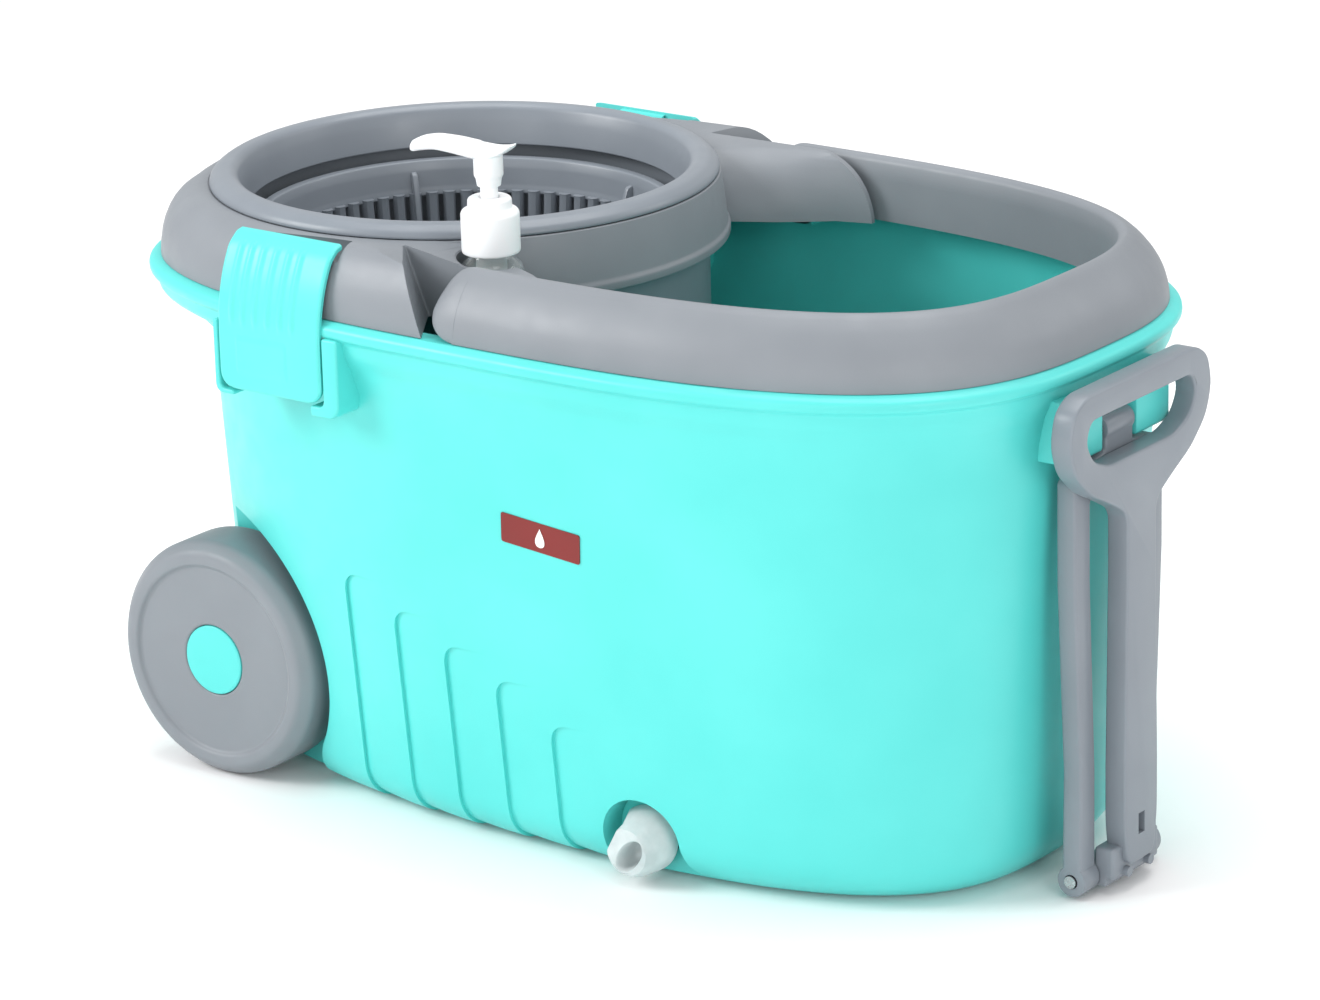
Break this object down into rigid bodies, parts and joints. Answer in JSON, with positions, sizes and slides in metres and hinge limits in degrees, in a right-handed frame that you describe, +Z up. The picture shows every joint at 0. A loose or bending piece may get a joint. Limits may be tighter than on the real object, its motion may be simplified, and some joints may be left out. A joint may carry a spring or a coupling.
{
  "type": "spin mop",
  "caption": "Wheeled spin-mop bucket with a latched spinner cover, wringing basket, pump soap bottle, carry handle, folding pull handle and drain plug",
  "frame": {"origin": "on the floor, under the middle of the overall length and width", "axes": "+X along the bucket towards the folding pull handle, -Y the side with the drain plug and the badge, +Z up"},
  "size_m": [0.5138, 0.3126, 0.3328],
  "materials": {
    "aqua_plastic": "satin injection-moulded polypropylene",
    "grey_plastic": "satin injection-moulded polypropylene",
    "white_plastic": "smooth",
    "clear_plastic": "clear, glossy",
    "silicone": "translucent, soft",
    "black_rubber": "matt",
    "label_red": "printed film",
    "steel": "bright drawn"
  },
  "bodies": {
    "tub": {"bucket_tub": "aqua_plastic", "wheel_stub_near": "steel", "wheel_stub_far": "steel", "wheel_retainer_near": "steel", "wheel_retainer_far": "steel", "handle_pin_near": "steel", "handle_pin_far": "steel", "drain_gasket": "black_rubber", "front_label": "label_red", "link_pin": "steel"},
    "cover": {"spinner_cover": "grey_plastic", "splash_ring": "grey_plastic", "drip_drum": "grey_plastic", "drum_screw_1": "steel", "drum_screw_2": "steel", "drum_screw_3": "steel", "drum_screw_4": "steel", "spindle": "steel", "lower_bearing": "white_plastic", "latch_pin_near": "steel", "latch_pin_far": "steel"},
    "basket": {"spin_basket": "grey_plastic", "basket_floor": "grey_plastic", "drive_socket": "white_plastic"},
    "near_latch": {"latch_near": "aqua_plastic"},
    "far_latch": {"latch_far": "aqua_plastic"},
    "bottle": {"soap_bottle": "clear_plastic", "pump_collar": "white_plastic", "pump_chamber": "white_plastic", "dip_tube": "white_plastic", "pump_spring": "steel"},
    "stem": {"pump_stem": "white_plastic"},
    "head": {"pump_head": "white_plastic"},
    "handle": {"carry_handle": "grey_plastic"},
    "link": {"pull_link": "grey_plastic", "elbow_pin": "steel"},
    "grip": {"pull_grip": "grey_plastic"},
    "near_wheel": {"wheel_near": "grey_plastic", "hub_cap_near": "aqua_plastic"},
    "far_wheel": {"wheel_far": "grey_plastic", "hub_cap_far": "aqua_plastic"},
    "plug": {"drain_plug": "silicone"}
  },
  "joints": [
    {"name": "wheel_near_spin", "type": "hinge", "parent": "tub", "child": "near_wheel", "pos_m": [-0.1871, -0.106, 0.0585], "axis": [0, 1, 0], "continuous": true},
    {"name": "wheel_far_spin", "type": "hinge", "parent": "tub", "child": "far_wheel", "pos_m": [-0.1871, 0.106, 0.0585], "axis": [0, 1, 0], "continuous": true},
    {"name": "cover_lift", "type": "slide", "parent": "tub", "child": "cover", "axis": [0, 0, 1], "range_m": [0, 0.14]},
    {"name": "basket_spin", "type": "hinge", "parent": "cover", "child": "basket", "pos_m": [-0.1199, 0, 0.178], "axis": [0, 0, 1], "continuous": true},
    {"name": "latch_near_open", "type": "hinge", "parent": "cover", "child": "near_latch", "pos_m": [-0.1138, -0.1345, 0.2792], "axis": [-1, 0, 0], "range_deg": [0, 100]},
    {"name": "latch_far_open", "type": "hinge", "parent": "cover", "child": "far_latch", "pos_m": [-0.1138, 0.1345, 0.2792], "axis": [1, 0, 0], "range_deg": [0, 100]},
    {"name": "bottle_lift", "type": "slide", "parent": "cover", "child": "bottle", "axis": [0, 0, 1], "range_m": [0, 0.1]},
    {"name": "pump_press", "type": "slide", "parent": "bottle", "child": "stem", "axis": [0, 0, -1], "range_m": [0, 0.0045], "stiffness_N_per_m": 600, "springref_m": -0.004, "deforming": ["pump_spring"]},
    {"name": "spout_swivel", "type": "hinge", "parent": "stem", "child": "head", "pos_m": [-0.0241, -0.102, 0.32], "axis": [0, 0, 1], "range_deg": [-210, 60]},
    {"name": "handle_swing", "type": "hinge", "parent": "tub", "child": "handle", "pos_m": [-0.0114, 0, 0.2658], "axis": [0, 1, 0], "range_deg": [-90, 0]},
    {"name": "link_swing", "type": "hinge", "parent": "tub", "child": "link", "pos_m": [0.2401, 0, 0.216], "axis": [0, -1, 0], "range_deg": [0, 110]},
    {"name": "grip_unfold", "type": "hinge", "parent": "link", "child": "grip", "pos_m": [0.2401, 0, 0.0085], "axis": [0, 1, 0], "range_deg": [0, 180]},
    {"name": "plug_pull", "type": "slide", "parent": "tub", "child": "plug", "axis": [0, -1, 0], "range_m": [0, 0.02]}
  ],
  "couplings": [
    {"joint": "grip_unfold", "follows": "link_swing", "ratio": 1.6364}
  ]
}
